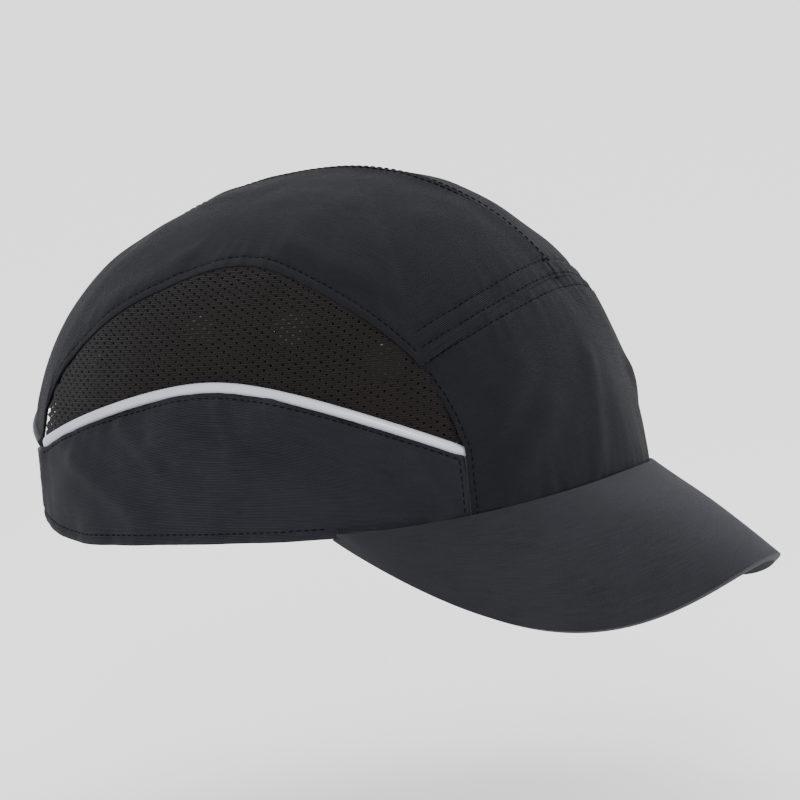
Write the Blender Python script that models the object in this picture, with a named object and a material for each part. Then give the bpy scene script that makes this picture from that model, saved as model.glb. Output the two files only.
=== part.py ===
"""Bump cap: a fabric cap with mesh side panels, a stiff brim, a rear strap and a hard insert."""

import math

import bmesh
import bpy
from mathutils import Vector

# Driving dimensions, in metres and degrees. The front looks along -Y, the wearer's right is -X.
HALF_LENGTH = 0.111
HALF_WIDTH = 0.0915
CROWN_HEIGHT = 0.121
APEX_Y = -0.0096
PLAN_POWER = 2.3
FRONT_POWERS = (2.35, 1.92)
BACK_POWERS = (2.79, 1.95)

CLOTH = 0.0009
GAP = 0.0003
SEAM_GAP_DEG = 0.25
SEAM_GAP = 0.0022
PIPING_RADIUS = 0.0012

FRONT_SEAM_DEG = 44.0
SIDE_REAR_DEG = 150.0
REAR_CORNER_DEG = 130.0
REAR_CORNER_RISE = 0.0075
MESH_FRONT_DEG = 45.5
MESH_REAR_DEG = 148.0
PIPING_TOP = 0.053
MESH_TOP = 0.0930
FRONT_PANEL_TOP = 0.078
ARCH_SIDE = 0.034
ARCH_TOP = 0.046

BRIM_HALF_DEG = 72.0
BRIM_SEAM_RISE = 0.0075
BRIM_BACK_Y = -0.032
BRIM_LENGTH = 0.1285
BRIM_HALF_WIDTH = 0.0845
BRIM_POWER = 0.85
BRIM_TIP_Z = -0.0245
BRIM_DROP = 0.068
BRIM_CURL = 0.75
BRIM_STANDOFF = 0.0024
BRIM_BELLY = 0.004
BRIM_END_INSET = 0.03
BRIM_ROOT_INSET = 0.03
BRIM_BOARD = 0.0016

SHELL_INSET = 0.0062
SHELL_WALL = 0.0022
SHELL_LOW = 0.030
VENT_RADIUS = 0.0065
PAD_WALL = 0.0055
PAD_DEPTH = SHELL_WALL + 0.0009
TAB_WALL = 0.0012
SWEATBAND_HEIGHT = 0.0245
SWEATBAND_WALL = 0.0018
SWEATBAND_END_DEG = 148.0
TAPE_WIDTH = 0.010

STRAP_LOW = 0.010
STRAP_HIGH = 0.030
STRAP_WALL = 0.0014
STRAP_DEPTH = 0.0024
STRAP_START_DEG = 149.0
BUCKLE_START_DEG = 172.0
BUCKLE_END_DEG = 178.0
PATCH_WALL = 0.0008
TAIL_START_DEG = 179.0
TAIL_END_DEG = 203.0


def remove_everything():
    for old in list(bpy.data.objects):
        bpy.data.objects.remove(old, do_unlink=True)


def material(name, colour, roughness, metallic=0.0):
    made = bpy.data.materials.new(name)
    made.use_nodes = True
    shader = made.node_tree.nodes["Principled BSDF"]
    shader.inputs["Base Color"].default_value = (*colour, 1.0)
    shader.inputs["Roughness"].default_value = roughness
    shader.inputs["Metallic"].default_value = metallic
    return made


def plan_radius(turn):
    """Distance from the apex axis to the crown's outline, at this turn from the front."""
    step_x = -math.sin(turn)
    step_y = -math.cos(turn)
    low = 0.0
    high = 2 * HALF_LENGTH
    for _ in range(40):
        middle = (low + high) / 2
        side = abs(middle * step_x / HALF_WIDTH) ** PLAN_POWER
        ahead = abs((APEX_Y + middle * step_y) / HALF_LENGTH) ** PLAN_POWER
        if side + ahead < 1:
            low = middle
        else:
            high = middle
    return low


def crown_point(degrees, height):
    """A point of the crown's outer surface; below the rim the wall runs straight down."""
    turn = math.radians(degrees)
    front = 0.5 * (1 + math.cos(turn))
    rise_power = BACK_POWERS[0] + (FRONT_POWERS[0] - BACK_POWERS[0]) * front
    round_power = BACK_POWERS[1] + (FRONT_POWERS[1] - BACK_POWERS[1]) * front
    share = min(max(height / CROWN_HEIGHT, 0.0), 1.0)
    radius = plan_radius(turn) * (1 - share**rise_power) ** (1 / round_power)
    return Vector((-radius * math.sin(turn), APEX_Y - radius * math.cos(turn), height))


def crown_normal(degrees, height):
    """The crown's outward normal, by small steps along the surface."""
    if height > CROWN_HEIGHT * 0.9995:
        return Vector((0, 0, 1))
    along = crown_point(degrees + 0.5, height) - crown_point(degrees - 0.5, height)
    step = min(0.0004, (CROWN_HEIGHT - height) / 3)
    up = crown_point(degrees, height + step) - crown_point(degrees, height - step)
    return up.cross(along).normalized()


def inside(degrees, height, depth):
    """A point at this depth under the crown's outer surface."""
    return crown_point(degrees, height) - crown_normal(degrees, height) * depth


def piping_height(degrees):
    return PIPING_TOP - 0.027 * abs((degrees - 101) / 56) ** 1.6


def mesh_height(degrees):
    share = min(abs((degrees - 97) / 51.6), 1.0)
    floor = piping_height(degrees)
    return floor + (MESH_TOP - PIPING_TOP) * (1 - share**3) ** (1 / 3)


def rim_height(degrees):
    """The crown's lower edge: level along the sides, rising to the rear corners."""
    share = max(degrees - REAR_CORNER_DEG, 0) / (SIDE_REAR_DEG - REAR_CORNER_DEG)
    return REAR_CORNER_RISE * share**2


def front_panel_height(degrees):
    return FRONT_PANEL_TOP - 0.0225 * (degrees / 50) ** 2


def brim_seam_height(degrees):
    share = min(abs(degrees) / BRIM_HALF_DEG, 1.0)
    return BRIM_SEAM_RISE * math.cos(share * math.pi / 2) ** 2


def crown_panel_height(degrees):
    """Lower edge of a crown panel: front panel, mesh panel, then the rear arch."""
    if degrees < MESH_FRONT_DEG:
        return front_panel_height(degrees) + SEAM_GAP
    if degrees < MESH_REAR_DEG:
        blend = min((degrees - MESH_FRONT_DEG) / 6, 1.0)
        joined = front_panel_height(degrees) * (1 - blend) + mesh_height(degrees) * blend
        return max(joined, mesh_height(degrees)) + SEAM_GAP
    share = (degrees - MESH_REAR_DEG) / (180 - MESH_REAR_DEG)
    return ARCH_SIDE + (ARCH_TOP - ARCH_SIDE) * math.sin(share * math.pi / 2)


def finish(name, mesh_data, collection, look):
    made = bpy.data.objects.new(name, mesh_data)
    collection.objects.link(made)
    mesh_data.materials.append(look)
    mesh_data.shade_smooth()
    mesh_data.set_sharp_from_angle(angle=math.radians(40))
    return made


def thick_patch(name, place, columns, rows, wall, collection, look):
    """A closed wall: a grid from bmesh, moved to place(column share, row share, depth)."""
    shape = bmesh.new()
    for depth in (0.0, wall):
        before = set(shape.verts)
        bmesh.ops.create_grid(shape, x_segments=columns, y_segments=rows, size=0.5)
        layer = [corner for corner in shape.verts if corner not in before]
        for corner in layer:
            across = corner.co.x + 0.5
            up = corner.co.y + 0.5
            corner.co = place(across, up, depth)
    rims = [edge for edge in shape.edges if edge.is_boundary]
    bmesh.ops.bridge_loops(shape, edges=rims)
    bmesh.ops.remove_doubles(shape, verts=shape.verts, dist=0.00002)
    bmesh.ops.recalc_face_normals(shape, faces=shape.faces)
    data = bpy.data.meshes.new(name)
    shape.to_mesh(data)
    shape.free()
    return finish(name, data, collection, look)


def wall_between(low, high, start, end, depth=0.0, sign=1):
    """A place function for a band of the crown between two height curves."""

    def place(across, up, deeper):
        degrees = start + (end - start) * across
        height = low(degrees) + (high(degrees) - low(degrees)) * up
        point = inside(degrees, height, depth + deeper)
        point.x *= sign
        return point

    return place


def crown_half(sign):
    """A place function for half of the crown's top, closed at the apex."""

    def place(across, up, deeper):
        degrees = 180 * across
        low = crown_panel_height(degrees)
        turn = math.asin(min(low / CROWN_HEIGHT, 1.0))
        rise = turn + (math.pi / 2 - turn) * (1 - (1 - up) ** 1.15)
        height = CROWN_HEIGHT * math.sin(rise)
        if up > 0.999:
            point = Vector((0, APEX_Y, CROWN_HEIGHT - deeper))
        else:
            point = inside(degrees, height, deeper)
        return Vector((sign * (point.x - GAP / 2), point.y, point.z))

    return place


def tube(name, points, radius, collection, look):
    """A round tube on a polyline, made a mesh with welded caps."""
    data = bpy.data.curves.new(name, "CURVE")
    data.dimensions = "3D"
    data.bevel_depth = radius
    data.bevel_resolution = 1
    data.use_fill_caps = True
    spline = data.splines.new("POLY")
    spline.points.add(len(points) - 1)
    for knot, point in zip(spline.points, points):
        knot.co = (*point, 1.0)
    guide = bpy.data.objects.new(name + "_guide", data)
    collection.objects.link(guide)
    evaluated = guide.evaluated_get(bpy.context.evaluated_depsgraph_get())
    solid = bpy.data.meshes.new_from_object(evaluated)
    bpy.data.objects.remove(guide)
    shape = bmesh.new()
    shape.from_mesh(solid)
    bmesh.ops.remove_doubles(shape, verts=shape.verts, dist=0.00001)
    bmesh.ops.recalc_face_normals(shape, faces=shape.faces)
    shape.to_mesh(solid)
    shape.free()
    return finish(name, solid, collection, look)


def brim_point(across, outward):
    """The brim's middle surface: from the seam under the front panel out to its arched edge."""
    share = 2 * across - 1
    degrees = BRIM_HALF_DEG * share
    root = inside(degrees, brim_seam_height(degrees), -BRIM_STANDOFF)
    angle = share * math.pi / 2
    reach = max(math.cos(angle), 0.0)
    edge = Vector((
        -BRIM_HALF_WIDTH * math.sin(angle),
        BRIM_BACK_Y - BRIM_LENGTH * reach**BRIM_POWER,
        BRIM_TIP_Z * reach**2 - BRIM_DROP * math.sin(angle) ** 2 * reach**BRIM_CURL,
    ))
    point = root.lerp(edge, outward)
    point.z += BRIM_BELLY * math.sin(outward * math.pi) * reach
    return point


def brim_layer(lift):
    """A place function for one layer of the brim, at this distance above its middle surface."""

    def place(across, up, deeper):
        across = BRIM_END_INSET + (1 - 2 * BRIM_END_INSET) * across
        outward = BRIM_ROOT_INSET + (1 - BRIM_ROOT_INSET) * up
        step = 0.01
        along = brim_point(across + step, outward) - brim_point(across - step, outward)
        out = brim_point(across, outward + step) - brim_point(across, outward - step)
        normal = out.cross(along).normalized()
        if normal.z < 0:
            normal.negate()
        return brim_point(across, outward) + normal * (lift - deeper)

    return place


def strap_point(degrees, height, depth):
    """The rear strap follows the rim's outline, set in by its depth."""
    ring = crown_point(degrees, STRAP_LOW)
    outward = crown_normal(degrees, STRAP_LOW)
    outward.z = 0
    point = ring - outward.normalized() * depth
    point.z = height
    return point


def strap_band(start, end, depth, low=STRAP_LOW, high=STRAP_HIGH):
    def place(across, up, deeper):
        return strap_point(start + (end - start) * across, low + (high - low) * up, depth + deeper)

    return place


def insert_point(degrees, height, depth):
    """A point of the hard insert, which is the crown set in and drawn down a little."""
    return inside(degrees, height, SHELL_INSET + depth)


def insert_patch(low, high, start, end, depth):
    """A place function for a pad or tab that lies at this depth under the insert's skin."""

    def place(across, up, deeper):
        degrees = start + (end - start) * across
        return insert_point(degrees, low + (high - low) * up, depth + deeper)

    return place


def seam_tape(across, up, deeper):
    """The tape under the centre seam, from the front panel over the top to the rear arch."""
    front = front_panel_height(0)
    start = math.asin(front / CROWN_HEIGHT)
    finish_turn = math.pi - math.asin(ARCH_TOP / CROWN_HEIGHT)
    rise = start + 0.03 + (finish_turn - start - 0.06) * up
    degrees = 0.0 if rise < math.pi / 2 else 180.0
    height = min(CROWN_HEIGHT * math.sin(rise), CROWN_HEIGHT * 0.9999)
    point = inside(degrees, height, CLOTH + 3 * GAP + deeper)
    point.x = TAPE_WIDTH * (across - 0.5)
    return point


def dome_shell(name, low, depth, wall, columns, rows, collection, look):
    """A closed bowl: two nested domes with poles, bridged along the rim."""
    shape = bmesh.new()
    for layer in (0.0, wall):
        before = set(shape.verts)
        bmesh.ops.create_grid(shape, x_segments=columns, y_segments=rows, size=0.5)
        for corner in [corner for corner in shape.verts if corner not in before]:
            degrees = 360 * (corner.co.x + 0.5)
            up = corner.co.y + 0.5
            start = math.asin(low / CROWN_HEIGHT)
            rise = start + (math.pi / 2 - start) * up
            if up > 0.999:
                corner.co = (0, APEX_Y, CROWN_HEIGHT - SHELL_INSET - depth - layer)
            else:
                corner.co = insert_point(degrees, CROWN_HEIGHT * math.sin(rise), depth + layer)
    bmesh.ops.remove_doubles(shape, verts=shape.verts, dist=0.00005)
    rims = [edge for edge in shape.edges if edge.is_boundary]
    bmesh.ops.bridge_loops(shape, edges=rims)
    bmesh.ops.recalc_face_normals(shape, faces=shape.faces)
    data = bpy.data.meshes.new(name)
    shape.to_mesh(data)
    shape.free()
    return finish(name, data, collection, look)


def vent_cutters(collection):
    """Round cutters through the hard shell, on both sides and over the top."""
    made = []
    spots = [(side * turn, height) for side in (1, -1) for turn, height in (
        (58, 0.060), (82, 0.074), (108, 0.074), (136, 0.062), (70, 0.098), (125, 0.098),
    )]
    for number, (degrees, height) in enumerate(spots):
        bpy.ops.mesh.primitive_cylinder_add(vertices=16, radius=VENT_RADIUS, depth=0.02)
        cutter = bpy.context.active_object
        cutter.name = f"vent_cutter_{number}"
        normal = crown_normal(degrees, height)
        cutter.location = inside(degrees, height, SHELL_INSET)
        cutter.rotation_euler = normal.to_track_quat("Z", "Y").to_euler()
        cutter.hide_render = True
        cutter.display_type = "WIRE"
        for holder in list(cutter.users_collection):
            holder.objects.unlink(cutter)
        collection.objects.link(cutter)
        made.append(cutter)
    return made


def buckle(collection, look):
    """A flat loop between the two straps: an outline with one slot, bent to the strap's run."""
    shape = bmesh.new()
    outer = ((0.0, -0.003), (1.0, 0.023))
    inner = ((0.3, 0.0), (0.7, 0.020))
    rings = []
    for depth in (STRAP_DEPTH - 0.0006, STRAP_DEPTH + STRAP_WALL + 0.0006):
        for low, high in (outer, inner):
            corners = [(low[0], low[1]), (high[0], low[1]), (high[0], high[1]), (low[0], high[1])]
            ring = []
            for share, rise in corners:
                degrees = BUCKLE_START_DEG + (BUCKLE_END_DEG - BUCKLE_START_DEG) * share
                ring.append(shape.verts.new(strap_point(degrees, STRAP_LOW + rise, depth)))
            for first, second in zip(ring, ring[1:] + ring[:1]):
                shape.edges.new((first, second))
            rings.append(ring)
    for one, other in ((0, 1), (2, 3), (0, 2), (1, 3)):
        for step in range(4):
            after = (step + 1) % 4
            shape.faces.new((
                rings[one][step], rings[one][after], rings[other][after], rings[other][step],
            ))
    bmesh.ops.recalc_face_normals(shape, faces=shape.faces)
    data = bpy.data.meshes.new("strap_buckle")
    shape.to_mesh(data)
    shape.free()
    return finish("strap_buckle", data, collection, look)


def main():
    remove_everything()
    parts = bpy.data.collections.new("bump_cap")
    bpy.context.scene.collection.children.link(parts)
    cutters = bpy.data.collections.new("cutters")
    bpy.context.scene.collection.children.link(cutters)
    cloth = material("polyester_cloth", (0.030, 0.031, 0.036), 0.75)
    netting = material("spacer_mesh", (0.020, 0.018, 0.016), 0.8)
    reflective = material("reflective_piping", (0.48, 0.50, 0.56), 0.45)
    board = material("brim_board", (0.05, 0.05, 0.05), 0.6)
    lining = material("sweatband_terry", (0.025, 0.025, 0.028), 0.9)
    plastic = material("abs_shell", (0.015, 0.015, 0.016), 0.4)
    foam = material("eva_foam", (0.02, 0.02, 0.022), 0.85)
    webbing = material("strap_webbing", (0.02, 0.02, 0.022), 0.8)
    acetal = material("buckle_acetal", (0.012, 0.012, 0.012), 0.45)

    front = wall_between(
        lambda turn: brim_seam_height(turn) + 0.0012, front_panel_height,
        -FRONT_SEAM_DEG + SEAM_GAP_DEG, FRONT_SEAM_DEG - SEAM_GAP_DEG,
    )
    thick_patch("front_panel", front, 16, 6, CLOTH, parts, cloth)
    for side, sign in (("right", 1), ("left", -1)):
        thick_patch(f"crown_panel_{side}", crown_half(sign), 30, 8, CLOTH, parts, cloth)
        netted = wall_between(
            lambda turn: piping_height(turn) + 0.0021, mesh_height,
            MESH_FRONT_DEG + 3, MESH_REAR_DEG - 3, sign=sign,
        )
        thick_patch(f"mesh_panel_{side}", netted, 20, 5, CLOTH, parts, netting)
        lower = wall_between(
            rim_height, lambda turn: piping_height(turn) - 0.0021,
            FRONT_SEAM_DEG + SEAM_GAP_DEG, SIDE_REAR_DEG, sign=sign,
        )
        thick_patch(f"side_panel_{side}", lower, 22, 4, CLOTH, parts, cloth)
        path = []
        for step in range(27):
            degrees = MESH_FRONT_DEG + (MESH_REAR_DEG - MESH_FRONT_DEG) * step / 26
            point = inside(degrees, piping_height(degrees), 0.0003)
            path.append(Vector((point.x * sign, point.y, point.z)))
        tube(f"piping_{side}", path, PIPING_RADIUS, parts, reflective)

    half_board = BRIM_BOARD / 2
    for name, lift, wall, look in (
        ("brim_cover_top", half_board + GAP + CLOTH, CLOTH, cloth),
        ("brim_board", half_board, BRIM_BOARD, board),
        ("brim_cover_under", -half_board - GAP, CLOTH, cloth),
    ):
        thick_patch(name, brim_layer(lift), 24, 6, wall, parts, look)

    band = wall_between(
        lambda turn: rim_height(abs(turn)) + 0.0015, lambda turn: SWEATBAND_HEIGHT,
        -SWEATBAND_END_DEG, SWEATBAND_END_DEG, depth=CLOTH + GAP,
    )
    thick_patch("sweatband", band, 44, 2, SWEATBAND_WALL, parts, lining)
    thick_patch("centre_seam_tape", seam_tape, 2, 24, 0.0006, parts, webbing)
    edge = []
    for step in range(19):
        degrees = MESH_REAR_DEG + 2 + (360 - 2 * MESH_REAR_DEG - 4) * step / 18
        mirrored = min(degrees, 360 - degrees)
        edge.append(inside(degrees, crown_panel_height(mirrored) - 0.0016, 0.0006))
    tube("arch_binding", edge, 0.0011, parts, webbing)

    shell = dome_shell("bump_shell", SHELL_LOW, 0.0, SHELL_WALL, 40, 9, parts, plastic)
    for cutter in vent_cutters(cutters):
        cut = shell.modifiers.new(cutter.name, "BOOLEAN")
        cut.operation = "DIFFERENCE"
        cut.object = cutter
    dome_shell("pad_crown", 0.108, PAD_DEPTH, PAD_WALL, 24, 4, parts, foam)
    for name, start, end in (
        ("front", -36, 36), ("rear", 146, 214), ("right", 62, 118), ("left", -118, -62),
    ):
        pad = insert_patch(SHELL_LOW + 0.004, 0.062, start, end, PAD_DEPTH)
        thick_patch(f"pad_{name}", pad, 8, 3, PAD_WALL, parts, foam)
    for number, degrees in enumerate((38, 150, 210, 322), start=1):
        hook = insert_patch(0.072, 0.090, degrees - 7, degrees + 7, -TAB_WALL - GAP)
        thick_patch(f"hook_tab_{number}", hook, 3, 2, TAB_WALL, parts, webbing)
        loop = insert_patch(0.072, 0.090, degrees - 7, degrees + 7, -2 * (TAB_WALL + GAP))
        thick_patch(f"loop_tab_{number}", loop, 3, 2, TAB_WALL, parts, lining)

    right = strap_band(STRAP_START_DEG, BUCKLE_START_DEG - 0.3, STRAP_DEPTH)
    thick_patch("strap_right", right, 6, 2, STRAP_WALL, parts, webbing)
    left = strap_band(BUCKLE_END_DEG + 0.3, 360 - STRAP_START_DEG, STRAP_DEPTH)
    thick_patch("strap_left", left, 8, 2, STRAP_WALL, parts, webbing)
    buckle(parts, acetal)
    fuzzy = strap_band(184, 205, STRAP_DEPTH - GAP - PATCH_WALL, STRAP_LOW + 0.001, STRAP_HIGH - 0.001)
    thick_patch("loop_patch", fuzzy, 6, 1, PATCH_WALL, parts, lining)
    hooked = strap_band(
        184, 201, STRAP_DEPTH - 2 * (GAP + PATCH_WALL), STRAP_LOW + 0.001, STRAP_HIGH - 0.001,
    )
    thick_patch("hook_patch", hooked, 5, 1, PATCH_WALL, parts, lining)
    tail_depth = STRAP_DEPTH - 3 * GAP - 2 * PATCH_WALL - STRAP_WALL
    tail = strap_band(TAIL_START_DEG, TAIL_END_DEG, tail_depth)
    thick_patch("strap_tail", tail, 7, 2, STRAP_WALL, parts, webbing)


if __name__ == "__main__":
    main()
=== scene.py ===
"""Looks of the bump cap: cloth panels, netting, piping, brim, strap and padded insert."""

import math

import bmesh
import bpy
from mathutils import Matrix, Vector, noise


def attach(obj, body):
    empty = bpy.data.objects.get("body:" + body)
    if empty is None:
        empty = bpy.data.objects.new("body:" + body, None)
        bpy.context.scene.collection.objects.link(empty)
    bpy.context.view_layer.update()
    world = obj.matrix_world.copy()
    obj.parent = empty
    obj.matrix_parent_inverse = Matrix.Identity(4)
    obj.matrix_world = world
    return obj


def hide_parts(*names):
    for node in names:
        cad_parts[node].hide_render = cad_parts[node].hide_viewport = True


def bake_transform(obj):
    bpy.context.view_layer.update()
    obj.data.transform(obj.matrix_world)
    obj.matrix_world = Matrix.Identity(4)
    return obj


bl_info = {
    "name": "Bump Cap",
    "version": (1, 0, 0),
    "blender": (4, 5, 0),
    "location": "3D View > Sidebar > Bump Cap",
    "description": "Models a fabric bump cap with a padded hard insert around its frame",
    "category": "Object",
}

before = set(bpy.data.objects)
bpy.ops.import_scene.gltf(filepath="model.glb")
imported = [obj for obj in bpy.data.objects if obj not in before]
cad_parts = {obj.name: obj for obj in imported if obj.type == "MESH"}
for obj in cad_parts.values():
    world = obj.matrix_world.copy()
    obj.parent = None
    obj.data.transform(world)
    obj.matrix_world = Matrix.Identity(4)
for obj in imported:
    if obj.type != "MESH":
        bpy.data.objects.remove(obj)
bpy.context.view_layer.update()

# The crown's form, as the frame's walls have it. Front is -Y, the wearer's right is -X.
HALF_LENGTH = 0.111
HALF_WIDTH = 0.0915
CROWN_HEIGHT = 0.121
APEX_Y = -0.0096
PLAN_POWER = 2.3
FRONT_POWERS = (2.35, 1.92)
BACK_POWERS = (2.79, 1.95)

FRONT_SEAM_DEG = 44.0
FRONT_CORNER_DEG = 50.3
FRONT_CORNER_HEIGHT = 0.0553
SIDE_REAR_DEG = 150.0
REAR_CORNER_DEG = 130.0
REAR_CORNER_RISE = 0.0075
MESH_REAR_DEG = 148.0
PIPING_TOP = 0.053
MESH_TOP = 0.0930
FRONT_PANEL_TOP = 0.078
ARCH_SIDE = 0.034
ARCH_TOP = 0.046

BRIM_HALF_DEG = 72.0
BRIM_SEAM_RISE = 0.0075
BRIM_BACK_Y = -0.032
BRIM_LENGTH = 0.1285
BRIM_HALF_WIDTH = 0.0845
BRIM_POWER = 0.85
BRIM_TIP_Z = -0.0245
BRIM_DROP = 0.068
BRIM_CURL = 0.75
BRIM_BELLY = 0.0022

SHELL_INSET = 0.0062
SHELL_WALL = 0.0022
SHELL_LOW = 0.030
PAD_DEPTH = SHELL_WALL + 0.0005
PAD_WALL = 0.0058

STRAP_LOW = 0.010
STRAP_HIGH = 0.030
STRAP_WALL = 0.0014
STRAP_DEPTH = 0.0024
STRAP_START_DEG = 149.0
BUCKLE_START_DEG = 172.0
BUCKLE_END_DEG = 178.0
TAIL_END_DEG = 203.0
TAIL_DEPTH = -0.0015

CLOTH_WALL = 0.0008


# ---------------------------------------------------------------- form of the crown


def plan_radius(turn):
    """Distance from the apex axis to the crown's outline, at this turn from the front."""
    step_x = -math.sin(turn)
    step_y = -math.cos(turn)
    low = 0.0
    high = 2 * HALF_LENGTH
    for _ in range(26):
        middle = (low + high) / 2
        side = abs(middle * step_x / HALF_WIDTH) ** PLAN_POWER
        ahead = abs((APEX_Y + middle * step_y) / HALF_LENGTH) ** PLAN_POWER
        if side + ahead < 1:
            low = middle
        else:
            high = middle
    return low


PLAN_STEPS = 1440
PLAN_TABLE = [plan_radius(math.tau * step / PLAN_STEPS) for step in range(PLAN_STEPS)]


def outline_radius(degrees):
    """The plan radius, read between the steps of its table."""
    place = (degrees % 360) * PLAN_STEPS / 360
    step = int(place)
    share = place - step
    first = PLAN_TABLE[step % PLAN_STEPS]
    return first + (PLAN_TABLE[(step + 1) % PLAN_STEPS] - first) * share


def crown_point(degrees, height):
    """A point of the crown's outer surface; below the rim the wall runs straight down."""
    turn = math.radians(degrees)
    front = 0.5 * (1 + math.cos(turn))
    rise_power = BACK_POWERS[0] + (FRONT_POWERS[0] - BACK_POWERS[0]) * front
    round_power = BACK_POWERS[1] + (FRONT_POWERS[1] - BACK_POWERS[1]) * front
    share = min(max(height / CROWN_HEIGHT, 0.0), 1.0)
    radius = outline_radius(degrees) * (1 - share**rise_power) ** (1 / round_power)
    return Vector((-radius * math.sin(turn), APEX_Y - radius * math.cos(turn), height))


def crown_normal(degrees, height):
    if height > CROWN_HEIGHT * 0.9995:
        return Vector((0, 0, 1))
    along = crown_point(degrees + 0.5, height) - crown_point(degrees - 0.5, height)
    step = min(0.0004, (CROWN_HEIGHT - height) / 3)
    up = crown_point(degrees, height + step) - crown_point(degrees, height - step)
    return up.cross(along).normalized()


def inside(degrees, height, depth):
    return crown_point(degrees, height) - crown_normal(degrees, height) * depth


def piping_height(degrees):
    away = ((degrees - 101) / 56) ** 2
    return PIPING_TOP - 0.0280 * ((away + 0.03) ** 0.8 - 0.03**0.8)


def mesh_height(degrees):
    share = min(abs((degrees - 97) / 51.6), 1.0)
    return piping_height(degrees) + (MESH_TOP - PIPING_TOP) * (1 - share**3) ** (1 / 3)


def rim_height(degrees):
    share = max(degrees - REAR_CORNER_DEG, 0) / (SIDE_REAR_DEG - REAR_CORNER_DEG)
    return REAR_CORNER_RISE * share**2


def front_panel_height(degrees):
    return FRONT_PANEL_TOP - 0.0225 * (degrees / 50) ** 2


def seam_degrees(height):
    """The front panel's side edge: upright below the piping, then round the mesh panel."""
    share = min(max((height - 0.0270) / (FRONT_CORNER_HEIGHT - 0.0270), 0.0), 1.0)
    return FRONT_SEAM_DEG + min(share * 8, 1.0) * 0.6 + (FRONT_CORNER_DEG - 44.6) * share**1.6


def brim_seam_height(degrees):
    share = min(abs(degrees) / BRIM_HALF_DEG, 1.0)
    return BRIM_SEAM_RISE * math.cos(share * math.pi / 2) ** 2


def crown_panel_height(degrees):
    """Lower edge of a crown panel: front panel, mesh panel, then the rear arch."""
    if degrees < FRONT_CORNER_DEG:
        return front_panel_height(degrees)
    if degrees < MESH_REAR_DEG:
        return mesh_height(degrees)
    share = (degrees - MESH_REAR_DEG) / (180 - MESH_REAR_DEG)
    return ARCH_SIDE + (ARCH_TOP - ARCH_SIDE) * math.sin(share * math.pi / 2)


def brim_point(across, outward, standoff=0.0010):
    """The brim's middle surface: from the seam under the front panel out to its arched edge."""
    share = 2 * across - 1
    degrees = BRIM_HALF_DEG * share
    root = inside(degrees, brim_seam_height(degrees), -standoff)
    angle = share * math.pi / 2
    reach = max(math.cos(angle), 0.0)
    edge = Vector((
        -BRIM_HALF_WIDTH * math.sin(angle),
        BRIM_BACK_Y - BRIM_LENGTH * reach**BRIM_POWER,
        BRIM_TIP_Z * reach**2 - BRIM_DROP * math.sin(angle) ** 2 * reach**BRIM_CURL,
    ))
    point = root.lerp(edge, outward)
    point.z += BRIM_BELLY * math.sin(outward * math.pi) * reach
    return point


def strap_point(degrees, height, depth):
    ring = crown_point(degrees, STRAP_LOW)
    outward = crown_normal(degrees, STRAP_LOW)
    outward.z = 0
    point = ring - outward.normalized() * depth
    point.z = height
    return point


def insert_point(degrees, height, depth):
    return inside(degrees, height, SHELL_INSET + depth)


# ---------------------------------------------------------------- cloth relief


def bump_of(distance, width):
    return math.exp(-((distance / width) ** 2))


def soft_fold(degrees, height, start, end, rise, width):
    """A soft crease from start to end, each (degrees, height), with its rise and half width."""
    scale = math.radians(1) * 0.095
    here = Vector((degrees * scale, height))
    first = Vector((start[0] * scale, start[1]))
    last = Vector((end[0] * scale, end[1]))
    run = last - first
    share = (here - first).dot(run) / run.length_squared
    away = (here - first - run * min(max(share, 0), 1)).length
    side = (here - first).cross(run) / run.length
    return rise * bump_of(away, width) + 0.6 * rise * bump_of(side - 1.9 * width, width) * bump_of(
        away, 2.6 * width
    ) * -1


def slack(degrees, height, seed, rise):
    """Broad, low unevenness of cloth that lies over the insert."""
    spot = crown_point(degrees, height)
    broad = noise.noise(spot * 26 + Vector((seed, 0, 0)))
    middle = noise.noise(Vector((spot.x * 70, spot.y * 70, spot.z * 34)) + Vector((0, seed, 0)))
    return rise * (broad + 0.6 * middle)


def seam_relief(distance, along, seed, stitched=0.0020, roll=0.0009):
    """Cloth at a sewn edge: rolled under, drawn down at its stitches and puckered beside them."""
    rolled = -roll * bump_of(distance, 0.0011)
    groove = -0.00028 * bump_of(distance - stitched, 0.0007)
    ripple = noise.noise(Vector((along * 210, seed, distance * 60)))
    pucker = 0.00060 * ripple * math.exp(-abs(distance - stitched) / 0.0080)
    return rolled + groove + pucker


# ---------------------------------------------------------------- mesh makers


def linked_object(shape, name):
    """An object in the scene from a bmesh, which is freed."""
    data = bpy.data.meshes.new(name)
    shape.to_mesh(data)
    shape.free()
    made = bpy.data.objects.new(name, data)
    bpy.context.scene.collection.objects.link(made)
    return made


def finished(shape, name, body, look, wall=0.0, rounds=0):
    """A smooth piece in its finish, with its wall grown inwards, riding on its body."""
    piece = linked_object(shape, name)
    piece.data.materials.append(look)
    piece.data.shade_smooth()
    if wall:
        grown = piece.modifiers.new("wall", "SOLIDIFY")
        grown.thickness = wall
        grown.offset = -1
    if rounds:
        soft = piece.modifiers.new("rounding", "SUBSURF")
        soft.levels = rounds
        soft.render_levels = rounds
    if body:
        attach(piece, body)
    return piece


def object_from(shape, name, body, look, wall=0.0, rounds=0):
    """A piece from a closed bmesh, with its faces turned outwards."""
    bmesh.ops.recalc_face_normals(shape, faces=shape.faces)
    return finished(shape, name, body, look, wall, rounds)


def face_out(shape, centre=Vector((0, 0, 0.03))):
    """Turn an open sheet so that its faces look away from the middle of the head."""
    bmesh.ops.recalc_face_normals(shape, faces=shape.faces)
    seen = sum(
        face.normal.dot(face.calc_center_median() - centre) * face.calc_area()
        for face in shape.faces
    )
    if seen < 0:
        bmesh.ops.reverse_faces(shape, faces=shape.faces)


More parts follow.
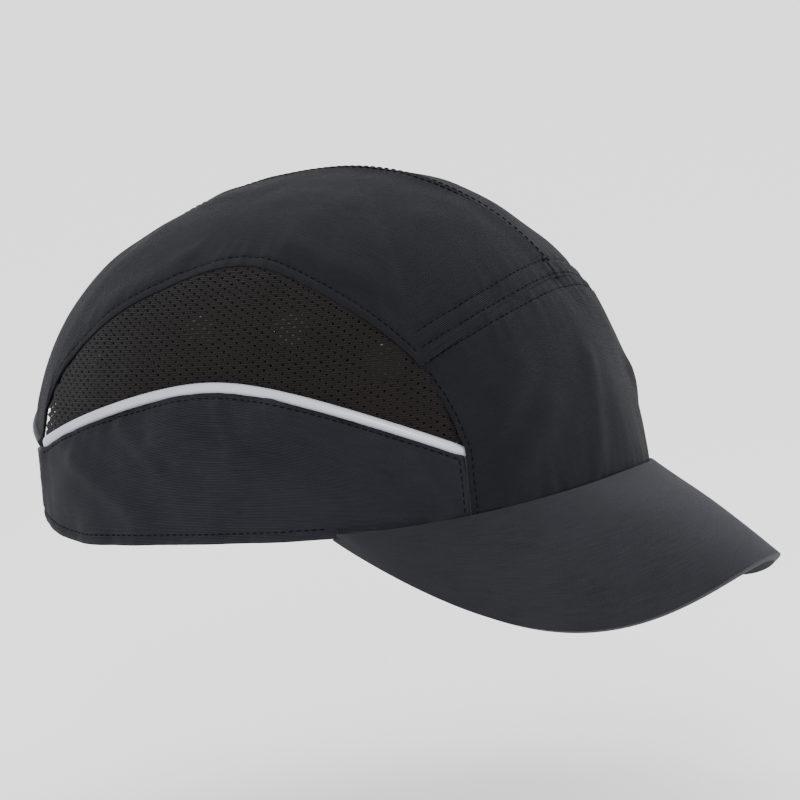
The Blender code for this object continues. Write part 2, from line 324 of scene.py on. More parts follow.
def sheet_piece(name, place, columns, rows, cut, body, look, wall=CLOTH_WALL, rounds=0):
    """A cloth piece: a grid whose points place(across, up) moves, with a map in metres."""
    shape = bmesh.new()
    bmesh.ops.create_grid(shape, x_segments=columns, y_segments=rows, size=0.5)
    threads = shape.loops.layers.uv.new("threads")
    for face in shape.faces:
        for loop in face.loops:
            spot = loop.vert.co
            loop[threads].uv = ((spot.x + 0.5) * cut[0], (spot.y + 0.5) * cut[1])
    for corner in shape.verts:
        corner.co = place(corner.co.x + 0.5, corner.co.y + 0.5)
    bmesh.ops.remove_doubles(shape, verts=shape.verts, dist=0.000005)
    face_out(shape)
    return finished(shape, name, body, look, wall, rounds)


def declare_cloth(node):
    """Hide the frame's node that a cloth panel stands for."""
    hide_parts(node)


def thread_rows(name, runs, body, look, pitch=0.0027, length=0.0021, radius=0.00024, sink=0.00012):
    """Lockstitch rows: one small capsule for each stitch, along runs of (point, normal)."""
    shape = bmesh.new()
    for run in runs:
        travelled = 0.0
        due = pitch / 2
        for (here, normal), (after, _) in zip(run, run[1:]):
            step = (after - here).length
            while due <= travelled + step and step > 1e-9:
                spot = here.lerp(after, (due - travelled) / step)
                along = (after - here).normalized()
                side = normal.cross(along).normalized()
                up = along.cross(side)
                turn = Matrix((along, side, up)).transposed().to_4x4()
                size = Matrix.Diagonal((length / 2, radius * 1.15, radius, 1))
                move = Matrix.Translation(spot - normal * sink) @ turn @ size
                bmesh.ops.create_uvsphere(
                    shape, u_segments=6, v_segments=4, radius=1, matrix=move @ Matrix.Rotation(
                        math.pi / 2, 4, "Y",
                    ),
                )
                due += pitch
            travelled += step
    return object_from(shape, name, body, look)


def crown_run(line, start, end, lift, steps=160, sign=1):
    """Points along the crown for a row of stitches; line(share) gives (degrees, height)."""
    run = []
    for step in range(steps + 1):
        degrees, height = line(start + (end - start) * step / steps)
        point = inside(degrees, height, -lift(degrees, height))
        normal = crown_normal(degrees, height)
        point.x *= sign
        normal.x *= sign
        run.append((point, normal))
    return run


def cord_tube(name, points, radius, body, look, sides=3):
    """A round tube through smooth points, built as a curve with filled ends and kept as a mesh."""
    data = bpy.data.curves.new(name, "CURVE")
    data.dimensions = "3D"
    data.bevel_depth = radius
    data.bevel_resolution = sides
    data.use_fill_caps = True
    data.resolution_u = 1
    spline = data.splines.new("POLY")
    spline.points.add(len(points) - 1)
    for knot, point in zip(spline.points, points):
        knot.co = (*point, 1.0)
    guide = bpy.data.objects.new(name + "_line", data)
    bpy.context.scene.collection.objects.link(guide)
    made = bpy.data.meshes.new_from_object(
        guide.evaluated_get(bpy.context.evaluated_depsgraph_get())
    )
    bpy.data.objects.remove(guide)
    shape = bmesh.new()
    shape.from_mesh(made)
    bpy.data.meshes.remove(made)
    bmesh.ops.remove_doubles(shape, verts=shape.verts, dist=0.00001)
    return object_from(shape, name, body, look)


# ---------------------------------------------------------------- materials


def linear(code):
    """sRGB hex to a linear colour."""
    parts = [int(code[start:start + 2], 16) / 255 for start in (1, 3, 5)]
    made = [part / 12.92 if part <= 0.04045 else ((part + 0.055) / 1.055) ** 2.4 for part in parts]
    return (*made, 1.0)


def add(tree, kind, settings=(), links=()):
    """One node, with its settings and socket values, and links into its sockets."""
    made = tree.nodes.new("ShaderNode" + kind)
    for key, value in dict(settings).items():
        if isinstance(key, str) and hasattr(made, key):
            setattr(made, key, value)
        else:
            made.inputs[key].default_value = value
    for key, source in dict(links).items():
        tree.links.new(source, made.inputs[key])
    return made


def base_material(name, roughness, **sockets):
    made = bpy.data.materials.new(name)
    made.use_nodes = True
    shader = made.node_tree.nodes["Principled BSDF"]
    shader.inputs["Roughness"].default_value = roughness
    for key, value in sockets.items():
        shader.inputs[key.replace("_", " ")].default_value = value
    return made, made.node_tree, shader


def wave_scale(spacing):
    """Wave texture scale for bands this far apart, in metres: a band is 2 pi / 20 / scale."""
    return math.tau / 20 / spacing


def woven_cloth(name, dark, light, roughness, spacing=0.00055, sheen=0.03, depth=0.7, wear=0.5):
    """Woven polyester: fine ribs across, closer threads along, mottled, faintly worn dyed yarn, and
    painted shade between the threads with painted light on their tops.
    """
    made, tree, shader = base_material(
        name, roughness, Sheen_Weight=sheen, Sheen_Roughness=0.45, Specular_IOR_Level=0.08,
        Sheen_Tint=(0.75, 0.78, 0.9, 1.0),
    )
    threads = add(tree, "UVMap", {"uv_map": "threads"}).outputs[0]
    place = add(tree, "TexCoord").outputs["Object"]
    weft = add(tree, "TexWave", {
        "bands_direction": "Y", "Scale": wave_scale(spacing), "Distortion": 1.2,
        "Detail": 1.0, "Detail Scale": 2.0,
    }, {"Vector": threads})
    warp = add(tree, "TexWave", {
        "bands_direction": "X", "Scale": wave_scale(spacing * 0.8), "Distortion": 0.8,
    }, {"Vector": threads})
    knit = add(tree, "Math", {"operation": "MULTIPLY"}, {0: weft.outputs[1], 1: warp.outputs[1]})
    rib = add(tree, "Math", {"operation": "MULTIPLY_ADD", 1: 0.6}, {
        0: weft.outputs[1], 2: knit.outputs[0],
    })
    fleck = add(tree, "TexNoise", {"Scale": 2600.0, "Detail": 2.0}, {"Vector": place})
    stretched = add(tree, "Mapping", {"Scale": (90.0, 2100.0, 1.0)}, {"Vector": threads})
    slub = add(tree, "TexNoise", {"Scale": 1.0, "Detail": 3.0}, {"Vector": stretched.outputs[0]})
    mottle = add(tree, "TexNoise", {"Scale": 46.0, "Detail": 5.0, "Roughness": 0.6}, {"Vector": place})
    uneven = add(tree, "Math", {"operation": "MULTIPLY_ADD", 1: 1.3}, {
        0: slub.outputs[0], 2: rib.outputs[0],
    })
    height = add(tree, "Math", {"operation": "MULTIPLY_ADD", 1: 0.5}, {
        0: fleck.outputs[0], 2: uneven.outputs[0],
    })
    bump = add(tree, "Bump", {"Strength": depth, "Distance": 0.00036}, {"Height": height.outputs[0]})
    # Painted shade and light: the colour runs from the dark value between the threads to the light value
    # on their tops, following the weave's height.
    painted_weave_shading = add(tree, "MapRange", {"From Min": 1.1, "From Max": 2.1, "To Min": 0.0, "To Max": 1.0}, {
        "Value": height.outputs[0],
    })
    # Random mottle, the cloth's own uneven colour, is added to the painted shade between the threads to
    # set the mix of dark and light.
    shade = add(tree, "Math", {"operation": "MULTIPLY_ADD", 1: wear, "use_clamp": True}, {
        0: mottle.outputs[0], 2: painted_weave_shading.outputs[0],
    })
    colour = add(tree, "Mix", {"data_type": "RGBA", 6: linear(dark), 7: linear(light)}, {
        0: shade.outputs[0],
    })
    tree.links.new(colour.outputs[2], shader.inputs["Base Color"])
    tree.links.new(bump.outputs[0], shader.inputs["Normal"])
    return made


def grained(name, dark, light, roughness, scale, depth, distance, kind="TexNoise", **sockets):
    """A material with one fine grain: terry, pile, foam or moulded plastic."""
    made, tree, shader = base_material(name, roughness, **sockets)
    place = add(tree, "TexCoord").outputs["Object"]
    grain = add(tree, kind, {"Scale": scale}, {"Vector": place})
    broad = add(tree, "TexNoise", {"Scale": 60.0, "Detail": 4.0}, {"Vector": place})
    mixed = add(tree, "Math", {"operation": "MULTIPLY_ADD", 1: 0.5, "use_clamp": True}, {
        0: broad.outputs[0], 2: grain.outputs[0],
    })
    colour = add(tree, "Mix", {"data_type": "RGBA", 6: linear(dark), 7: linear(light)}, {
        0: mixed.outputs[0],
    })
    bump = add(tree, "Bump", {"Strength": depth, "Distance": distance}, {"Height": grain.outputs[0]})
    worn = add(tree, "MapRange", {"To Min": roughness - 0.08, "To Max": roughness + 0.08}, {
        "Value": broad.outputs[0],
    })
    tree.links.new(colour.outputs[2], shader.inputs["Base Color"])
    tree.links.new(bump.outputs[0], shader.inputs["Normal"])
    tree.links.new(worn.outputs[0], shader.inputs["Roughness"])
    return made


LOOKS = {}


# The cloth's and the netting's shaded and lit colours paint shade between the threads and light on their
# tops.
def make_looks(dye):
    """Every finish of the cap, by its plain name."""
    # Plain-woven polyester: dull, with a faint bluish sheen and 0.55 mm ribs across.
    LOOKS["crown"] = woven_cloth("polyester_plain_weave", dye.cloth_dark, dye.cloth_light, 0.72)
    # The side panels' cloth: the same weave, with its light colour set a little paler and bluer.
    LOOKS["side"] = woven_cloth("polyester_side_panels", dye.cloth_dark, "#212128", 0.72)
    # The same cloth laminated to the board: flatter and more even. Its light colour is set paler than the
    # crown's: painted light on the brim's upturned top.
    LOOKS["brim"] = woven_cloth(
        "polyester_on_board", dye.cloth_dark, "#242429", 0.78, 0.0005, 0.08, 0.5,
    )
    # Knitted air mesh: warm black, fuzzy yarn between the holes.
    LOOKS["mesh"] = woven_cloth(
        "knitted_air_mesh", dye.mesh_dark, dye.mesh_light, 0.85, 0.0008, 0.05, 0.6,
    )
    # Retroreflective cloth: glass beads on grey backing give a pale, slightly grainy gleam.
    LOOKS["piping"] = grained(
        "retroreflective_cloth", "#7a7d87", dye.piping, 0.42, 3200.0, 0.12, 0.0001,
        Specular_IOR_Level=0.6, Sheen_Weight=0.2, Metallic=0.25,
    )
    # Polyester sewing thread, twisted and dull, darker than the cloth that it sinks into.
    LOOKS["thread"] = grained(
        "polyester_thread", "#010101", "#040405", 0.9, 2500.0, 0.3, 0.0001,
        Specular_IOR_Level=0.05,
    )
    # Terry sweatband: soft loops about 0.9 mm apart.
    LOOKS["terry"] = grained(
        "cotton_terry", "#101012", "#26262a", 0.95, 1100.0, 0.8, 0.0005, "TexVoronoi", Sheen_Weight=0.5,
    )
    # Woven polypropylene tape, with coarse ribs.
    LOOKS["tape"] = woven_cloth("woven_tape", "#121214", "#232327", 0.7, 0.0011, 0.2, 0.6)
    # Loop pile: matte fuzz. Hook tape: tiny stiff hooks in rows.
    LOOKS["pile"] = grained("loop_pile", "#0d0d0f", "#222226", 0.98, 1500.0, 1.0, 0.0006, Sheen_Weight=0.6)
    LOOKS["hooks"] = grained("hook_tape", "#0e0e10", "#1f1f23", 0.6, 900.0, 1.0, 0.0006, "TexVoronoi")
    # ABS, injection moulded and fine-grained: satin black with softly worn gloss.
    LOOKS["shell"] = grained("moulded_abs", "#050506", "#0b0b0c", 0.46, 1800.0, 0.12, 0.0001)
    # Closed-cell EVA foam: matte, with pores about 0.4 mm across.
    LOOKS["foam"] = grained("eva_foam", "#131315", "#232327", 0.9, 1500.0, 0.45, 0.0002, "TexVoronoi")
    # Acetal, moulded: smooth and slightly waxy.
    LOOKS["buckle"] = grained("moulded_acetal", "#0b0b0c", "#151517", 0.36, 900.0, 0.05, 0.0001)


# ---------------------------------------------------------------- cloth panels

SIDE_FOLDS = (
    ((84, 0.046), (62, 0.030), 0.0018, 0.0040),
    ((112, 0.036), (74, 0.014), 0.0020, 0.0046),
    ((134, 0.030), (118, 0.010), 0.0014, 0.0040),
    ((57, 0.026), (50, 0.006), 0.0014, 0.0032),
    ((98, 0.047), (94, 0.030), 0.0012, 0.0026),
    ((122, 0.042), (112, 0.026), 0.0012, 0.0030),
)
FRONT_FOLDS = (
    ((39, 0.010), (22, 0.036), 0.0012, 0.0050),
    ((-36, 0.012), (-24, 0.040), 0.0009, 0.0050),
    ((12, 0.014), (6, 0.050), 0.0009, 0.0046),
    ((28, 0.052), (38, 0.030), 0.0009, 0.0050),
)
CROWN_FOLDS = (
    ((118, 0.098), (140, 0.080), 0.0007, 0.0040),
    ((60, 0.086), (84, 0.100), 0.0006, 0.0040),
)


def folds_at(folds, degrees, height):
    return sum(soft_fold(degrees, height, *fold) for fold in folds)


def row_heights(degrees):
    """The three rows of stitches over the seam between front panel and crown."""
    spread = math.radians(degrees) ** 2
    return (0.0840 - 0.0225 * spread, 0.0790 - 0.0233 * spread, 0.0744 - 0.0242 * spread)


def row_relief(degrees, height):
    """The cloth is drawn down along each of those rows and puckers beside it."""
    drawn = 0.0
    for number, row in enumerate(row_heights(degrees)):
        away = height - row
        ripple = noise.noise(Vector((degrees * 0.55, number * 5, height * 90)))
        drawn += -0.00050 * bump_of(away, 0.0008) + 0.00028 * ripple * bump_of(away, 0.0035)
    return drawn


def front_relief(degrees, height):
    side = (seam_degrees(height) - abs(degrees)) * math.radians(1) * 0.11
    low = brim_seam_height(degrees) - 0.0006
    high = front_panel_height(degrees) + 0.0006
    relief = slack(degrees, height, 3, 0.0016) + folds_at(FRONT_FOLDS, degrees, height)
    relief += seam_relief(side, height, 5)
    relief += seam_relief(height - low, degrees * 0.0019, 9, roll=0.0007)
    relief += seam_relief(high - height, degrees * 0.0019, 12, roll=0.0004)
    return relief + row_relief(degrees, height)


def front_place(across, up):
    upright = FRONT_SEAM_DEG * (2 * across - 1)
    degrees = upright
    for _ in range(4):
        low = brim_seam_height(degrees) - 0.0006
        high = front_panel_height(degrees) + 0.0006
        height = low + (high - low) * up
        degrees = upright * seam_degrees(height) / FRONT_SEAM_DEG
    return inside(degrees, height, -front_relief(degrees, height))


def side_relief(degrees, height, sign):
    ahead = (degrees - FRONT_SEAM_DEG - 0.2) * math.radians(1) * 0.1
    behind = (SIDE_REAR_DEG - degrees) * math.radians(1) * 0.1
    low = rim_height(degrees)
    high = piping_height(degrees) - 0.0011
    relief = slack(degrees, height, 20 + 9 * sign, 0.0020)
    relief += folds_at(SIDE_FOLDS, degrees + 3 * (1 - sign), height)
    relief += seam_relief(ahead, height, 3 * sign) + seam_relief(behind, height, 7 * sign)
    relief += seam_relief(height - low, degrees * 0.0017, 1, stitched=0.0035, roll=0.0006)
    relief += seam_relief(high - height, degrees * 0.0017, 2 * sign, stitched=0.0020, roll=0.0005)
    return relief


def side_place(sign):
    def place(across, up):
        start = FRONT_SEAM_DEG + 0.2
        degrees = start + (SIDE_REAR_DEG - start) * across
        low = rim_height(degrees)
        high = piping_height(degrees) - 0.0011
        height = low + (high - low) * up
        point = inside(degrees, height, -side_relief(degrees, height, sign))
        point.x *= sign
        return point

    return place


def crown_relief(degrees, height, sign):
    low = crown_panel_height(degrees)
    foot = math.asin(min(low / CROWN_HEIGHT, 1.0))
    rise = math.asin(min(max(height / CROWN_HEIGHT, 0.0), 1.0))
    edge = (rise - foot) * 0.105
    up = (rise - foot) / (math.pi / 2 - foot)
    middle = abs(crown_point(degrees, height).x)
    relief = slack(degrees, height, 40 + 11 * sign, 0.0011) * min(1, (1 - up) * 5)
    relief += folds_at(CROWN_FOLDS, degrees, height)
    relief += seam_relief(edge, degrees * 0.0017, 4 * sign, stitched=0.0040, roll=0.0003)
    relief += 0.0010 * bump_of(middle, 0.0042) - 0.0009 * bump_of(middle, 0.0007)
    relief -= 0.00025 * bump_of(middle - 0.0022, 0.0006)
    if degrees < 50:
        relief += row_relief(degrees, height)
    return relief


def between(table, value):
    """The second number at this first number, read between the pairs of a table."""
    for (low, first), (high, last) in zip(table, table[1:]):
        if value <= high:
            share = min(max((value - low) / (high - low), 0.0), 1.0)
            return first + (last - first) * share
    return table[-1][1]


# Columns of the crown's grid stand closer where its lower edge turns steep.
CROWN_COLUMNS = ((0, 0), (0.23, 50.3), (0.62, 138), (0.83, 147.96), (0.84, 148.04), (1, 180))


def crown_place(sign):
    def place(across, up):
        degrees = between(CROWN_COLUMNS, across)
        foot = math.asin(min(crown_panel_height(degrees) / CROWN_HEIGHT, 1.0))
        rise = foot + (math.pi / 2 - foot) * up
        height = min(CROWN_HEIGHT * math.sin(rise), CROWN_HEIGHT * 0.99999)
        point = inside(degrees, height, -crown_relief(degrees, height, sign))
        if up > 0.999:
            point = Vector((0, APEX_Y, CROWN_HEIGHT))
        return Vector((sign * point.x, point.y, point.z))

    return place


def crown_edge_rise(degrees, reach):
    """Height of a line that runs this far up the crown from the panel's lower edge."""
    foot = math.asin(min(crown_panel_height(degrees) / CROWN_HEIGHT, 1.0))
    return CROWN_HEIGHT * math.sin(foot + reach / 0.105)


NET_CELL = (0.0046, 0.0015)
NET_HOLE = 0.00040
NET_COLUMNS = 80
NET_ROWS = 66
NET_FOOT = 0.018
NET_MIDDLE_DEG = 97
NET_OVERLAP = 0.0060
NET_WALL = 0.0006


def net_columns():
    """Arc length along the crown's outline from the netting's middle, for each half degree."""
    table = [(0.0, float(NET_MIDDLE_DEG))]
    for side in (1, -1):
        travelled = 0.0
        degrees = float(NET_MIDDLE_DEG)
        while abs(degrees - NET_MIDDLE_DEG) < 75:
            here = crown_point(degrees, 0.03)
            degrees += 0.5 * side
            travelled += (crown_point(degrees, 0.03) - here).length
            table.append((travelled * side, degrees))
    return sorted(table)


def net_rows():
    """Heights at equal steps of arc length up the crown's side."""
    heights = [NET_FOOT]
    travelled = 0.0
    height = NET_FOOT
    while len(heights) <= NET_ROWS:
        here = crown_point(NET_MIDDLE_DEG, height)
        height = min(height + 0.0001, CROWN_HEIGHT * 0.999)
        travelled += (crown_point(NET_MIDDLE_DEG, height) - here).length
        if travelled >= NET_CELL[1] * len(heights) or height > CROWN_HEIGHT * 0.995:
            heights.append(height)
    return heights


def netting_piece(name, sign, look):
    """Netting: a sheared grid, so that its holes stagger; each cell is inset round a small hole."""
    columns = net_columns()
    heights = list(enumerate(net_rows()))
    middle_radius = math.hypot(*(crown_point(NET_MIDDLE_DEG, 0.03) - Vector((0, APEX_Y, 0))).xy)
    shape = bmesh.new()
    bmesh.ops.create_grid(shape, x_segments=NET_COLUMNS, y_segments=NET_ROWS, size=0.5)
    for corner in shape.verts:
        column = (corner.co.x + 0.5) * NET_COLUMNS
        row = round((corner.co.y + 0.5) * NET_ROWS)
        run = (column + row / 2 - NET_COLUMNS / 2 - NET_ROWS / 4) * NET_CELL[0]
        corner.co = (run, row * NET_CELL[1], 0)
    far = [face for face in shape.faces if abs(face.calc_center_median().x) > 0.112]
    bmesh.ops.delete(shape, geom=far, context="FACES")
    bmesh.ops.inset_individual(shape, faces=shape.faces, thickness=0.0004)
    cells = [face for face in shape.faces if all(len(corner.link_edges) == 3 for corner in face.verts)]
    for cell in cells:
        centre = cell.calc_center_median()
        for corner in cell.verts:
            away = corner.co - centre
            square = Vector((math.copysign(NET_HOLE, away.x), math.copysign(NET_HOLE, away.y), 0))
            corner.co = centre + square
    bmesh.ops.delete(shape, geom=cells, context="FACES")
    threads = shape.loops.layers.uv.new("threads")
    for face in shape.faces:
        for loop in face.loops:
            loop[threads].uv = loop.vert.co.xy
    beyond = set()
    for corner in shape.verts:
        height = between(heights, corner.co.y / NET_CELL[1])
        reach = crown_point(NET_MIDDLE_DEG, height) - Vector((0, APEX_Y, 0))
        degrees = between(columns, corner.co.x * middle_radius / math.hypot(*reach.xy))
        nearest = min(
            (degrees - seam_degrees(height) - 0.2) * 0.0017, (MESH_REAR_DEG - degrees) * 0.0040,
            height - piping_height(degrees), crown_panel_height(max(degrees, 50.4)) - height,
        )
        if nearest < -NET_OVERLAP:
            beyond.add(corner)
        tucked = min(max(-nearest / 0.0025, 0.0), 1.0)
        relief = slack(degrees, height, 40 + 11 * sign, 0.0011) - 0.0007 - 0.0015 * tucked
        point = inside(degrees, height, -relief)
        point.x *= sign
        corner.co = point
    gone = [face for face in shape.faces if any(corner in beyond for corner in face.verts)]
    bmesh.ops.delete(shape, geom=gone, context="FACES")
    face_out(shape)
    return finished(shape, name, "cap", look, NET_WALL, 1)


# ---------------------------------------------------------------- brim, bands, straps, insert


def brim_place(across, up):
    across = 0.004 + 0.992 * across
    point = brim_point(across, up)
    spread = noise.noise(point * 34) * 0.0005 * math.sin(math.pi * up)
    return point + Vector((0, 0, 0.0018 + spread))


def band_place(low, high, start, end, depth, puff=0.0, ripple=0.0, mirror=1):
    """A band along the rim, rounded over its height by puff, with small ripples along it."""

    def place(across, up):
        degrees = start + (end - start) * across
        bottom = low(abs(degrees)) if callable(low) else low
        height = bottom + (high - bottom) * up
        swell = puff * math.sin(math.pi * up) ** 0.6 if 0 < up < 1 else 0
        wave = ripple * noise.noise(Vector((degrees * 0.5, up * 2, 3)))
        point = inside(degrees, height, depth + swell + wave)
        point.x *= mirror
        return point

    return place


def strap_place(start, end, depth, low=STRAP_LOW, high=STRAP_HIGH, bow=0.0004):
    def place(across, up):
        degrees = start + (end - start) * across
        height = low + (high - low) * up
        sag = bow * noise.noise(Vector((degrees * 0.12, up, depth * 900)))
        return strap_point(degrees, height, depth - sag)

    return place


def tail_place(across, up):
    """The strap's tail: round the buckle's bar, then back along the strap to its free end."""
    fold_share = 0.12
    fold_radius = (STRAP_DEPTH + STRAP_WALL / 2 - TAIL_DEPTH - STRAP_WALL / 2) / 2
    middle_depth = (STRAP_DEPTH + STRAP_WALL / 2 + TAIL_DEPTH + STRAP_WALL / 2) / 2 - STRAP_WALL / 2
    height = STRAP_LOW + (STRAP_HIGH - STRAP_LOW) * up
    if across < fold_share:
        turn = math.pi * (1 - across / fold_share)
        degrees = BUCKLE_END_DEG + 0.6 - math.degrees(math.sin(turn) * fold_radius / 0.11)
        return strap_point(degrees, height, middle_depth - fold_radius * math.cos(turn) * 1.0)
    share = (across - fold_share) / (1 - fold_share)
    round_end = 0.004 * (abs(2 * up - 1) ** 3) * share**12
    degrees = BUCKLE_END_DEG + 0.6 + (TAIL_END_DEG - BUCKLE_END_DEG - 0.6) * share
    degrees -= math.degrees(round_end / 0.11)
    return strap_point(degrees, height, TAIL_DEPTH)


def insert_place(low, high, start, end, depth, puff=0.0):
    """A pad or tab on the insert, with rounded corners and a crowned face."""

    def place(across, up):
        middle = (start + end) / 2
        corner = 1 - 0.10 * abs(2 * up - 1) ** 6
        degrees = middle + (start - middle) * corner * (1 - 2 * across)
        squeeze = 1 - 0.12 * abs(2 * across - 1) ** 6
        height = (low + high) / 2 + (high - low) * (up - 0.5) * squeeze
        crowned = puff * (1 - abs(2 * across - 1) ** 4) * (1 - abs(2 * up - 1) ** 4)
        return insert_point(degrees, height, depth + crowned)

    return place


def padded_patch(name, place_back, place_face, columns, rows, body, look):
    """A pad: two sheets, back and crowned face, joined round the edge and rounded."""
    shape = bmesh.new()
    for place in (place_back, place_face):
        before = set(shape.verts)
        bmesh.ops.create_grid(shape, x_segments=columns, y_segments=rows, size=0.5)
        for corner in [corner for corner in shape.verts if corner not in before]:
            corner.co = place(corner.co.x + 0.5, corner.co.y + 0.5)
    bmesh.ops.bridge_loops(shape, edges=[edge for edge in shape.edges if edge.is_boundary])
    return object_from(shape, name, body, look, rounds=1)


def dome_sheet(columns, rows, low, depth, ripple=None):
    """An open dome of the insert, closed at the top, as a bmesh."""
    shape = bmesh.new()
    bmesh.ops.create_grid(shape, x_segments=columns, y_segments=rows, size=0.5)
    start = math.asin(low / CROWN_HEIGHT)
    for corner in shape.verts:
        degrees = 360 * (corner.co.x + 0.5)
        up = corner.co.y + 0.5
        rise = start + (math.pi / 2 - start) * up
        deeper = depth + (ripple(degrees, up) if ripple else 0)
        if up > 0.999:
            corner.co = (0, APEX_Y, CROWN_HEIGHT - SHELL_INSET - deeper)
        else:
            corner.co = insert_point(degrees, CROWN_HEIGHT * math.sin(rise), deeper)
    bmesh.ops.remove_doubles(shape, verts=shape.verts, dist=0.00005)
    face_out(shape)
    return shape


VENT_SPOTS = tuple(
    (side * turn, height) for side in (1, -1) for turn, height in (
        (58, 0.060), (82, 0.074), (108, 0.074), (136, 0.062), (70, 0.098), (125, 0.098),
    )
)
VENT_RADIUS = 0.0065


def vented_shell(look):
    """The hard shell: a dome with a raised rib on each side, bored through at its vents."""
    shape = dome_sheet(144, 40, SHELL_LOW, 0.0002, lambda turn, up: -0.0004 * bump_of(
        (abs((turn + 180) % 360 - 180) - 97) / 60 * 0.02, 0.012,
    ))
    piece = object_from(shape, "shell_hard", "insert", look, wall=SHELL_WALL - 0.0004)
    cutters = []
    for degrees, height in VENT_SPOTS:
        cutter_shape = bmesh.new()
        turn = crown_normal(degrees, height).to_track_quat("Z", "Y").to_matrix().to_4x4()
        place = Matrix.Translation(inside(degrees, height, SHELL_INSET)) @ turn
        bmesh.ops.create_cone(
            cutter_shape, cap_ends=True, segments=24, radius1=VENT_RADIUS, radius2=VENT_RADIUS,
            depth=0.02, matrix=place,
        )
        cutter = linked_object(cutter_shape, "vent_cutter")
        bore = piece.modifiers.new("bore", "BOOLEAN")
        bore.operation = "DIFFERENCE"
        bore.object = cutter
        cutters.append(cutter)
    graph = bpy.context.evaluated_depsgraph_get()
    bored = bpy.data.meshes.new_from_object(piece.evaluated_get(graph))
    piece.modifiers.clear()
    piece.data = bored
    bored.set_sharp_from_angle(angle=math.radians(35))
    for cutter in cutters:
        bpy.data.objects.remove(cutter)
    return piece


BUCKLE_SIZE = (0.0115, 0.0026, 0.0260)


def buckle_piece(look):
    """The strap's loop: a plate with one slot, bevelled, then bent to the strap's run."""
    shape = bmesh.new()
    bmesh.ops.create_cube(shape, size=1)
    bmesh.ops.scale(shape, vec=(BUCKLE_SIZE[0], BUCKLE_SIZE[1], BUCKLE_SIZE[2]), verts=shape.verts)
    faces = [face for face in shape.faces if abs(face.normal.y) > 0.5]
    bmesh.ops.inset_individual(shape, faces=faces, thickness=0.0022)
    for face in faces:
        for corner in face.verts:
            corner.co.x *= 0.78
    loops = [edge for face in faces for edge in face.edges]
    bmesh.ops.delete(shape, geom=faces, context="FACES_ONLY")
    bmesh.ops.bridge_loops(shape, edges=loops)
    uprights = [
        edge for edge in shape.edges
        if edge.calc_face_angle(0) > 0.6 and abs((edge.verts[0].co - edge.verts[1].co).y) > 0.001
    ]
    bmesh.ops.bevel(
        shape, geom=uprights, offset=0.0014, segments=4, profile=0.5, affect="EDGES", material=-1,
    )
    rims = [edge for edge in shape.edges if edge.calc_face_angle(0) > 0.9]
    bmesh.ops.bevel(
        shape, geom=rims, offset=0.0005, segments=2, profile=0.5, affect="EDGES", material=-1,
    )
    middle = (BUCKLE_START_DEG + BUCKLE_END_DEG) / 2
    spread = BUCKLE_END_DEG - BUCKLE_START_DEG
    for corner in shape.verts:
        across, through, up = corner.co
        corner.co = strap_point(
            middle + spread * across / BUCKLE_SIZE[0], 0.020 + up,
            STRAP_DEPTH + STRAP_WALL / 2 + through,
        )
    return object_from(shape, "strap_loop", "cap", look)


# ---------------------------------------------------------------- settings and operators


class BumpCapDyeAndShade(bpy.types.PropertyGroup):
    """Colours of the cap, as sRGB hex codes. The cloth's and the netting's shaded and lit colours are
    painted shade between the threads and painted light on their tops.
    """

    cloth_dark: bpy.props.StringProperty(
        name="Cloth, shaded", description="Colour between the threads", default="#020203",
    )
    cloth_light: bpy.props.StringProperty(
        name="Cloth, lit", description="Colour on top of the threads", default="#17171c",
    )
    mesh_dark: bpy.props.StringProperty(
        name="Netting, shaded", description="Colour deep in the knit", default="#050404",
    )
    mesh_light: bpy.props.StringProperty(
        name="Netting, lit", description="Colour on top of the knit", default="#171412",
    )
    piping: bpy.props.StringProperty(
        name="Piping", description="Colour of the reflective piping", default="#9c9faa",
    )


class BumpCapSizes(bpy.types.PropertyGroup):
    """Sizes that a maker would change without changing the frame."""

    piping_radius: bpy.props.FloatProperty(
        name="Piping radius", description="Half the width of the reflective piping",
        default=0.00185, min=0.0008, max=0.003, unit="LENGTH",
    )
    brim_wall: bpy.props.FloatProperty(
        name="Brim thickness", description="Board and both covers together",
        default=0.0034, min=0.002, max=0.006, unit="LENGTH",
    )
    stitch_pitch: bpy.props.FloatProperty(
        name="Stitch pitch", description="Distance from one stitch to the next",
        default=0.0027, min=0.0015, max=0.005, unit="LENGTH",
    )
    camera_turn: bpy.props.FloatProperty(
        name="Camera turn", description="Degrees from the front towards the wearer's right",
        default=65.06, min=0, max=180,
    )
    camera_rise: bpy.props.FloatProperty(
        name="Camera rise", description="Degrees above the rim", default=5.51, min=-20, max=80,
    )
    camera_roll: bpy.props.FloatProperty(
        name="Camera roll", description="Degrees that the camera leans", default=5.2, min=-30, max=30,
    )


def sides():
    return (("right", 1), ("left", -1))


def repaint(node, look):
    """Give a node of the frame one of the cap's finishes."""
    materials = bpy.data.objects[node].data.materials
    materials.clear()
    materials.append(LOOKS[look])


class OBJECT_OT_cap_looks(bpy.types.Operator):
    """Make every finish of the cap"""

    bl_idname = "object.cap_looks"
    bl_label = "Finishes"

    def execute(self, context):
        make_looks(context.scene.bump_cap_dye)
        return {"FINISHED"}


class OBJECT_OT_cap_panels(bpy.types.Operator):
    """Sew the front, crown and side panels"""

    bl_idname = "object.cap_panels"
    bl_label = "Cloth panels"

    def execute(self, context):
        cut = (0.170, 0.082)
        front = sheet_piece("front_cloth", front_place, 190, 90, cut, "cap", LOOKS["crown"])
        declare_cloth("front_panel")
        for side, sign in sides():
            cut = (0.300, 0.100)
            crown = sheet_piece(
                f"crown_cloth_{side}", crown_place(sign), 260, 110, cut, "cap", LOOKS["crown"],
            )
            declare_cloth(f"crown_panel_{side}")
            cut = (0.186, 0.052)
            lower = sheet_piece(
                f"side_cloth_{side}", side_place(sign), 210, 64, cut, "cap", LOOKS["side"],
            )
            declare_cloth(f"side_panel_{side}")
        return {"FINISHED"}


